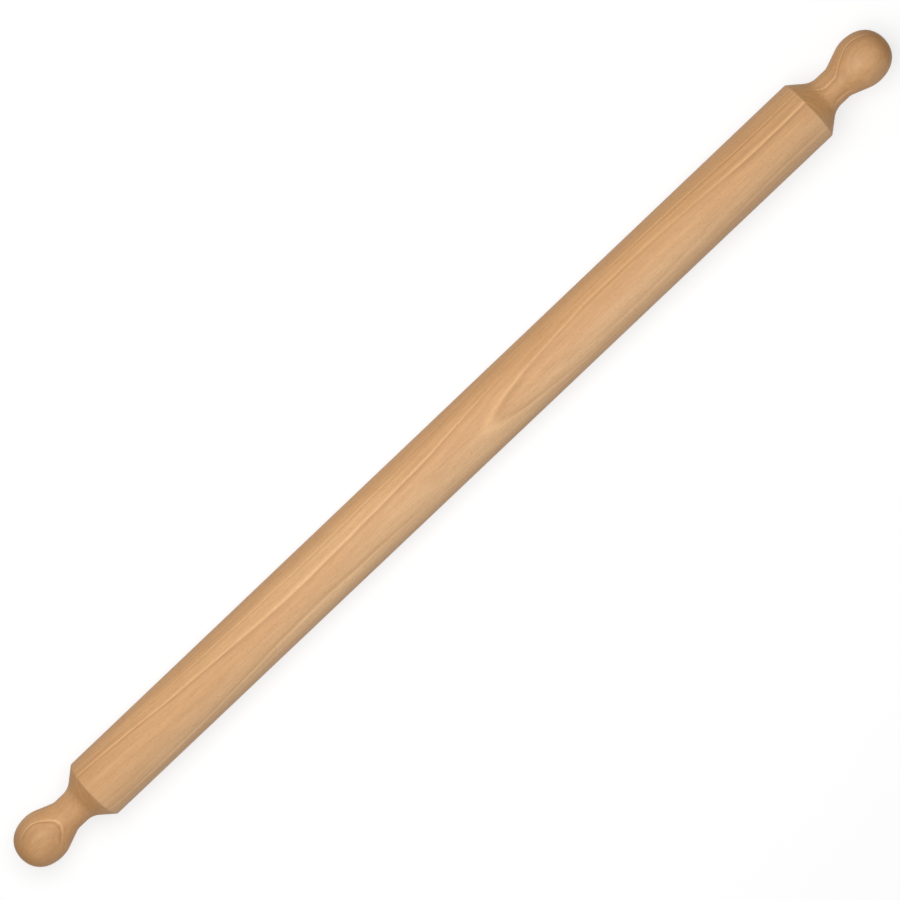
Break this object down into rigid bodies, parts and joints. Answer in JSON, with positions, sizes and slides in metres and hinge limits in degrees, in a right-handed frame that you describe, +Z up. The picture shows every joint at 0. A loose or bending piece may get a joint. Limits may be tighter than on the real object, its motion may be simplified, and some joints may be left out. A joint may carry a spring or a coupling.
{
  "type": "rolling pin",
  "caption": "Long solid wooden rolling pin with a straight round barrel that narrows at each end to a waist and a rounded knob for the hands, for rolling out pastry and pasta dough.",
  "frame": {"origin": "on the turning axis, halfway along the barrel, which is the place of the barrel mount and the centre of the whole pin", "axes": "+X along the turning axis from the left knob to the right knob, +Z up, +Y away from the viewer. Lying on a table, the pin touches it at z = -23 mm along the barrel"},
  "size_m": [0.8, 0.046, 0.0458],
  "materials": {
    "beech": "satin"
  },
  "bodies": {
    "root": {"rolling_pin": "beech"}
  },
  "joints": []
}
